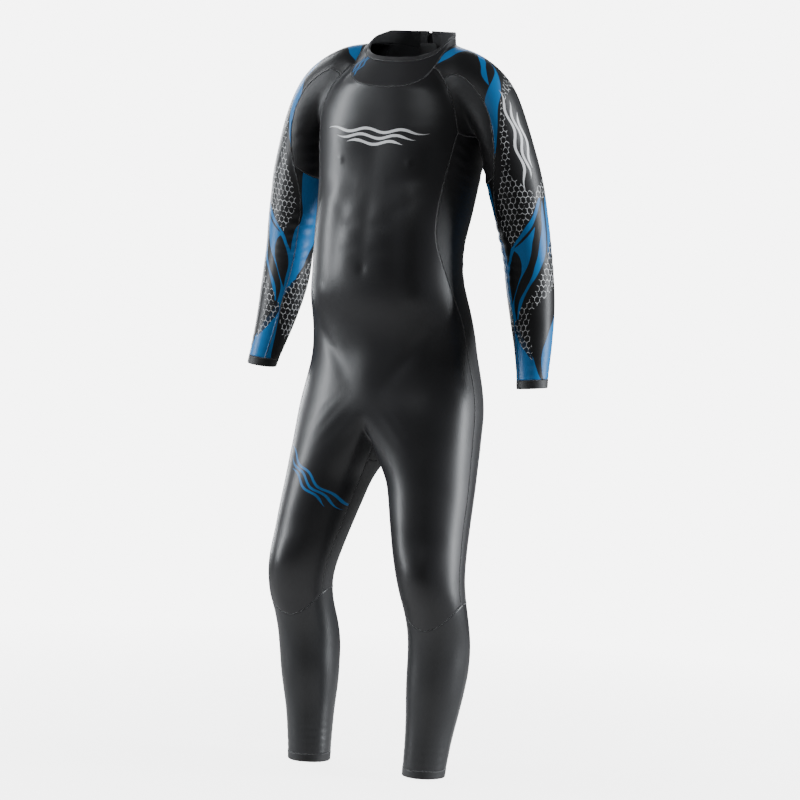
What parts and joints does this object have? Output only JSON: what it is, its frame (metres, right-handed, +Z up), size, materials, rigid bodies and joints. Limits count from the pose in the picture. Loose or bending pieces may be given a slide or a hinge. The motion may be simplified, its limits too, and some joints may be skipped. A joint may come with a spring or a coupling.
{
  "type": "full wetsuit",
  "caption": "Full-length sleeved wetsuit with a raised neck band, panelled legs and printed sleeves, closed by a straight back zip with a pull tab and a neck tab.",
  "frame": {"origin": "centre of the neck opening at the height of the neck seam, where a hanger holds the suit", "axes": "+Z up along the body, -Y out of the wearer's chest, +X towards the wearer's left"},
  "size_m": [0.652, 0.2759, 1.43],
  "materials": {
    "smooth_neoprene": "satin smooth-skin neoprene, black",
    "lined_neoprene": "fine knit jersey on neoprene, black",
    "lower_leg_neoprene": "matte textured neoprene, dark grey-black",
    "printed_jersey": "knit jersey printed blue, black and white",
    "edge_binding": "matte stretch binding, black",
    "zip_tape": "woven polyester tape, black",
    "zip_plastic": "moulded plastic teeth, black",
    "slider_metal": "painted cast metal, dark",
    "pull_plastic": "moulded soft plastic, blue",
    "tab_neoprene": "lined neoprene, black",
    "hook_and_loop": "hook and loop pile, dark grey",
    "label_cloth": "blank woven label, pale grey"
  },
  "bodies": {
    "suit": {"front_panel": "smooth_neoprene", "seat_panel": "smooth_neoprene", "left_upper_back": "smooth_neoprene", "right_upper_back": "smooth_neoprene", "neck_band": "smooth_neoprene", "left_side_panel": "lined_neoprene", "right_side_panel": "lined_neoprene", "left_underarm": "lined_neoprene", "right_underarm": "lined_neoprene", "left_thigh_back": "lined_neoprene", "right_thigh_back": "lined_neoprene", "crotch_gusset": "lined_neoprene", "left_lower_leg": "lower_leg_neoprene", "right_lower_leg": "lower_leg_neoprene", "left_sleeve": "printed_jersey", "right_sleeve": "printed_jersey", "left_forearm": "printed_jersey", "right_forearm": "printed_jersey", "left_cuff_hem": "edge_binding", "right_cuff_hem": "edge_binding", "left_ankle_hem": "edge_binding", "right_ankle_hem": "edge_binding", "neck_binding": "edge_binding", "zip_tape_left": "zip_tape", "zip_tape_right": "zip_tape", "hang_loop": "zip_tape", "zip_teeth_left": "zip_plastic", "zip_teeth_right": "zip_plastic", "zip_top_stops": "zip_plastic", "zip_bottom_stop": "zip_plastic", "neck_tab_base": "tab_neoprene", "zip_base_patch": "tab_neoprene", "zip_guard_flap": "tab_neoprene", "loop_patch": "hook_and_loop", "size_label": "label_cloth"},
    "slider": {"zip_slider": "slider_metal"},
    "pull": {"pull_tab": "pull_plastic"},
    "tab": {"neck_tab": "tab_neoprene", "hook_patch": "hook_and_loop"}
  },
  "joints": [
    {"name": "zip_slide", "type": "slide", "parent": "suit", "child": "slider", "axis": [0, 0.071, 0.9975], "range_m": [-0.357, 0]},
    {"name": "pull_tab_hinge", "type": "hinge", "parent": "slider", "child": "pull", "pos_m": [0, 0.09134, -0.03144], "axis": [1, 0, 0], "range_deg": [0, 130]},
    {"name": "neck_tab_hinge", "type": "hinge", "parent": "suit", "child": "tab", "pos_m": [0.0404, 0.0899, 0.02], "axis": [0, 0, -1], "range_deg": [0, 110]}
  ]
}
